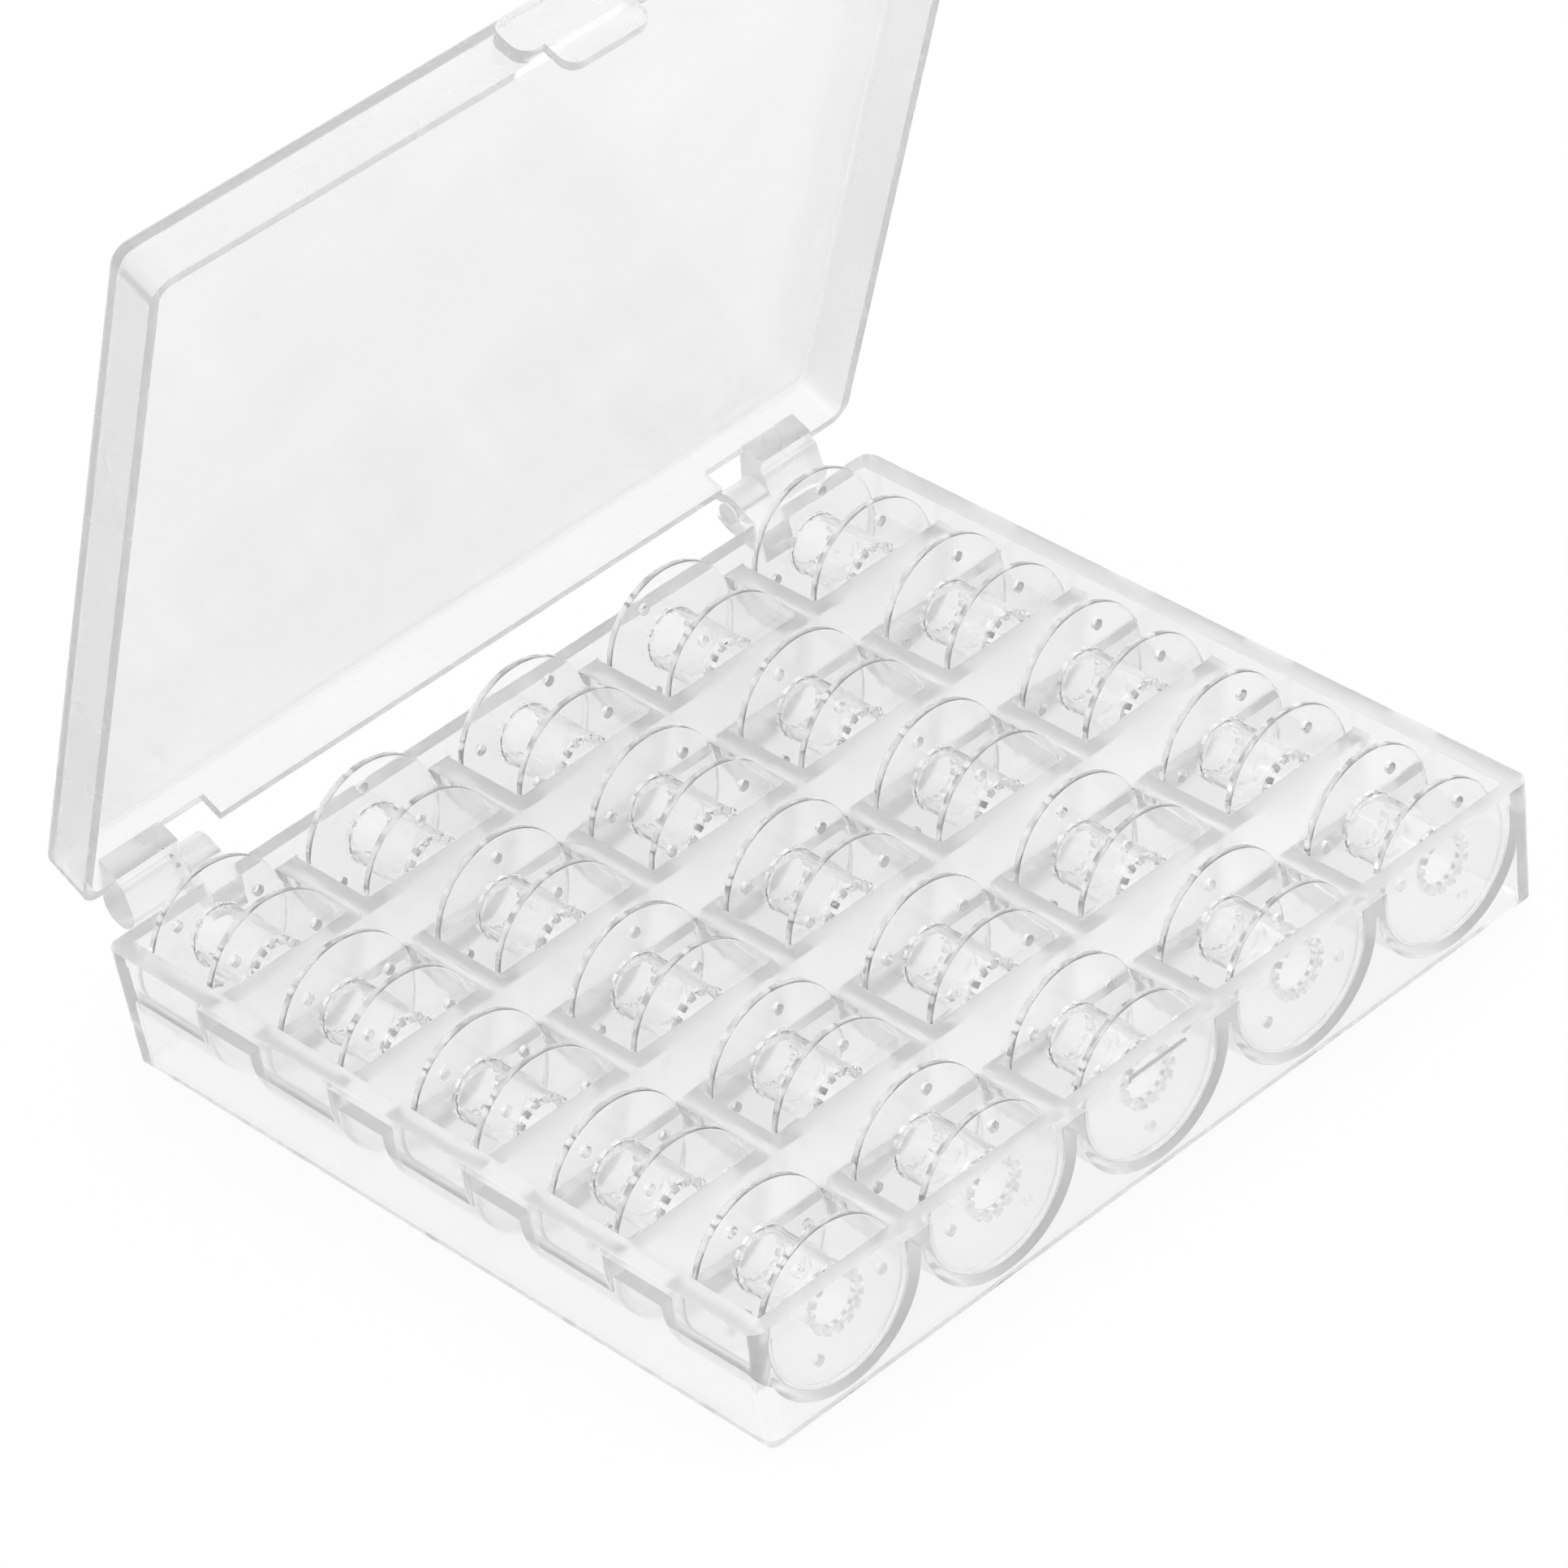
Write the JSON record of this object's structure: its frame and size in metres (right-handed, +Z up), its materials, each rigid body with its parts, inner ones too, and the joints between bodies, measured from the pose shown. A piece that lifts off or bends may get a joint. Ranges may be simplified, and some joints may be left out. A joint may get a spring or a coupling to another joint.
{
  "type": "thread spool storage box",
  "caption": "Clear plastic storage box for sewing-machine bobbins: round-bottomed pockets in a grid, a bobbin lying in each, and a snap-hinged lid standing open.",
  "frame": {"origin": "centre of the plane that the box stands on, under the middle of the tray", "axes": "+Z up, X along the hinge, +Y towards the hinge at the back, so the latch side faces -Y"},
  "size_m": [0.125, 0.1221, 0.129],
  "materials": {
    "tray_plastic": "clear, smooth",
    "lid_plastic": "clear, smooth",
    "bobbin_plastic": "clear, smooth"
  },
  "bodies": {
    "tray": {"tray": "tray_plastic"},
    "lid": {"lid": "lid_plastic"},
    "bobbin_r1_c1": {"bobbin_r1_c1": "bobbin_plastic"},
    "bobbin_r1_c2": {"bobbin_r1_c2": "bobbin_plastic"},
    "bobbin_r1_c3": {"bobbin_r1_c3": "bobbin_plastic"},
    "bobbin_r1_c4": {"bobbin_r1_c4": "bobbin_plastic"},
    "bobbin_r1_c5": {"bobbin_r1_c5": "bobbin_plastic"},
    "bobbin_r2_c1": {"bobbin_r2_c1": "bobbin_plastic"},
    "bobbin_r2_c2": {"bobbin_r2_c2": "bobbin_plastic"},
    "bobbin_r2_c3": {"bobbin_r2_c3": "bobbin_plastic"},
    "bobbin_r2_c4": {"bobbin_r2_c4": "bobbin_plastic"},
    "bobbin_r2_c5": {"bobbin_r2_c5": "bobbin_plastic"},
    "bobbin_r3_c1": {"bobbin_r3_c1": "bobbin_plastic"},
    "bobbin_r3_c2": {"bobbin_r3_c2": "bobbin_plastic"},
    "bobbin_r3_c3": {"bobbin_r3_c3": "bobbin_plastic"},
    "bobbin_r3_c4": {"bobbin_r3_c4": "bobbin_plastic"},
    "bobbin_r3_c5": {"bobbin_r3_c5": "bobbin_plastic"},
    "bobbin_r4_c1": {"bobbin_r4_c1": "bobbin_plastic"},
    "bobbin_r4_c2": {"bobbin_r4_c2": "bobbin_plastic"},
    "bobbin_r4_c3": {"bobbin_r4_c3": "bobbin_plastic"},
    "bobbin_r4_c4": {"bobbin_r4_c4": "bobbin_plastic"},
    "bobbin_r4_c5": {"bobbin_r4_c5": "bobbin_plastic"},
    "bobbin_r5_c1": {"bobbin_r5_c1": "bobbin_plastic"},
    "bobbin_r5_c2": {"bobbin_r5_c2": "bobbin_plastic"},
    "bobbin_r5_c3": {"bobbin_r5_c3": "bobbin_plastic"},
    "bobbin_r5_c4": {"bobbin_r5_c4": "bobbin_plastic"},
    "bobbin_r5_c5": {"bobbin_r5_c5": "bobbin_plastic"}
  },
  "joints": [
    {"name": "lid_hinge", "type": "hinge", "parent": "tray", "child": "lid", "pos_m": [0, 0.0605, 0.0168], "axis": [-1, 0, 0], "range_deg": [-68, 112]},
    {"name": "bobbin_r1_c1_lift", "type": "slide", "parent": "tray", "child": "bobbin_r1_c1", "axis": [0, 0, 1], "range_m": [0, 0.018]},
    {"name": "bobbin_r1_c2_lift", "type": "slide", "parent": "tray", "child": "bobbin_r1_c2", "axis": [0, 0, 1], "range_m": [0, 0.018]},
    {"name": "bobbin_r1_c3_lift", "type": "slide", "parent": "tray", "child": "bobbin_r1_c3", "axis": [0, 0, 1], "range_m": [0, 0.018]},
    {"name": "bobbin_r1_c4_lift", "type": "slide", "parent": "tray", "child": "bobbin_r1_c4", "axis": [0, 0, 1], "range_m": [0, 0.018]},
    {"name": "bobbin_r1_c5_lift", "type": "slide", "parent": "tray", "child": "bobbin_r1_c5", "axis": [0, 0, 1], "range_m": [0, 0.018]},
    {"name": "bobbin_r2_c1_lift", "type": "slide", "parent": "tray", "child": "bobbin_r2_c1", "axis": [0, 0, 1], "range_m": [0, 0.018]},
    {"name": "bobbin_r2_c2_lift", "type": "slide", "parent": "tray", "child": "bobbin_r2_c2", "axis": [0, 0, 1], "range_m": [0, 0.018]},
    {"name": "bobbin_r2_c3_lift", "type": "slide", "parent": "tray", "child": "bobbin_r2_c3", "axis": [0, 0, 1], "range_m": [0, 0.018]},
    {"name": "bobbin_r2_c4_lift", "type": "slide", "parent": "tray", "child": "bobbin_r2_c4", "axis": [0, 0, 1], "range_m": [0, 0.018]},
    {"name": "bobbin_r2_c5_lift", "type": "slide", "parent": "tray", "child": "bobbin_r2_c5", "axis": [0, 0, 1], "range_m": [0, 0.018]},
    {"name": "bobbin_r3_c1_lift", "type": "slide", "parent": "tray", "child": "bobbin_r3_c1", "axis": [0, 0, 1], "range_m": [0, 0.018]},
    {"name": "bobbin_r3_c2_lift", "type": "slide", "parent": "tray", "child": "bobbin_r3_c2", "axis": [0, 0, 1], "range_m": [0, 0.018]},
    {"name": "bobbin_r3_c3_lift", "type": "slide", "parent": "tray", "child": "bobbin_r3_c3", "axis": [0, 0, 1], "range_m": [0, 0.018]},
    {"name": "bobbin_r3_c4_lift", "type": "slide", "parent": "tray", "child": "bobbin_r3_c4", "axis": [0, 0, 1], "range_m": [0, 0.018]},
    {"name": "bobbin_r3_c5_lift", "type": "slide", "parent": "tray", "child": "bobbin_r3_c5", "axis": [0, 0, 1], "range_m": [0, 0.018]},
    {"name": "bobbin_r4_c1_lift", "type": "slide", "parent": "tray", "child": "bobbin_r4_c1", "axis": [0, 0, 1], "range_m": [0, 0.018]},
    {"name": "bobbin_r4_c2_lift", "type": "slide", "parent": "tray", "child": "bobbin_r4_c2", "axis": [0, 0, 1], "range_m": [0, 0.018]},
    {"name": "bobbin_r4_c3_lift", "type": "slide", "parent": "tray", "child": "bobbin_r4_c3", "axis": [0, 0, 1], "range_m": [0, 0.018]},
    {"name": "bobbin_r4_c4_lift", "type": "slide", "parent": "tray", "child": "bobbin_r4_c4", "axis": [0, 0, 1], "range_m": [0, 0.018]},
    {"name": "bobbin_r4_c5_lift", "type": "slide", "parent": "tray", "child": "bobbin_r4_c5", "axis": [0, 0, 1], "range_m": [0, 0.018]},
    {"name": "bobbin_r5_c1_lift", "type": "slide", "parent": "tray", "child": "bobbin_r5_c1", "axis": [0, 0, 1], "range_m": [0, 0.018]},
    {"name": "bobbin_r5_c2_lift", "type": "slide", "parent": "tray", "child": "bobbin_r5_c2", "axis": [0, 0, 1], "range_m": [0, 0.018]},
    {"name": "bobbin_r5_c3_lift", "type": "slide", "parent": "tray", "child": "bobbin_r5_c3", "axis": [0, 0, 1], "range_m": [0, 0.018]},
    {"name": "bobbin_r5_c4_lift", "type": "slide", "parent": "tray", "child": "bobbin_r5_c4", "axis": [0, 0, 1], "range_m": [0, 0.018]},
    {"name": "bobbin_r5_c5_lift", "type": "slide", "parent": "tray", "child": "bobbin_r5_c5", "axis": [0, 0, 1], "range_m": [0, 0.018]}
  ]
}
